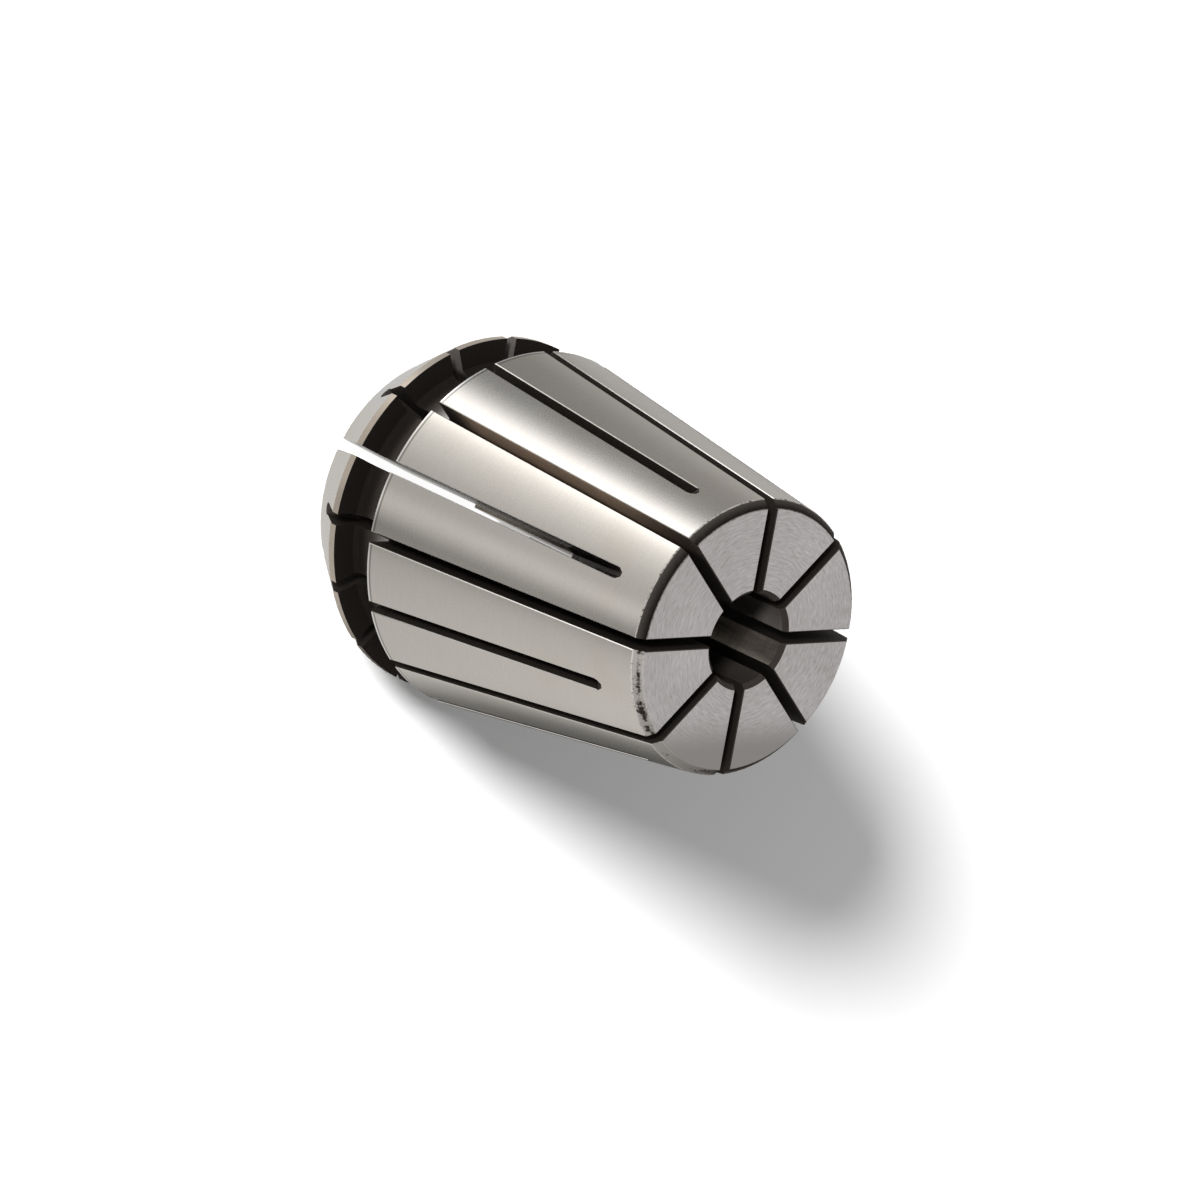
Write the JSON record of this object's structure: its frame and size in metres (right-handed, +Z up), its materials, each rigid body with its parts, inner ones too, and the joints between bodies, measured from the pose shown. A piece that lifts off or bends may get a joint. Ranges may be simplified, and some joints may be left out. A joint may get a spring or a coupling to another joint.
{
  "type": "er collet",
  "caption": "Slotted steel spring collet: a long 8 degree cone, a groove and a 30 degree nose cone round a plain bore, with saw cuts from both ends.",
  "frame": {"origin": "centre of the wide nose face, on the collet's axis, where the collet stands on a table", "axes": "+Z runs up the bore's axis from the nose face to the small tail end, and +X runs through the middle of one of the slots that open at the tail"},
  "size_m": [0.026, 0.026, 0.034],
  "materials": {
    "steel": "cones ground to a satin grey, tail face turned, groove, slots and bore left near black"
  },
  "bodies": {
    "root": {"collet": "steel"}
  },
  "joints": []
}
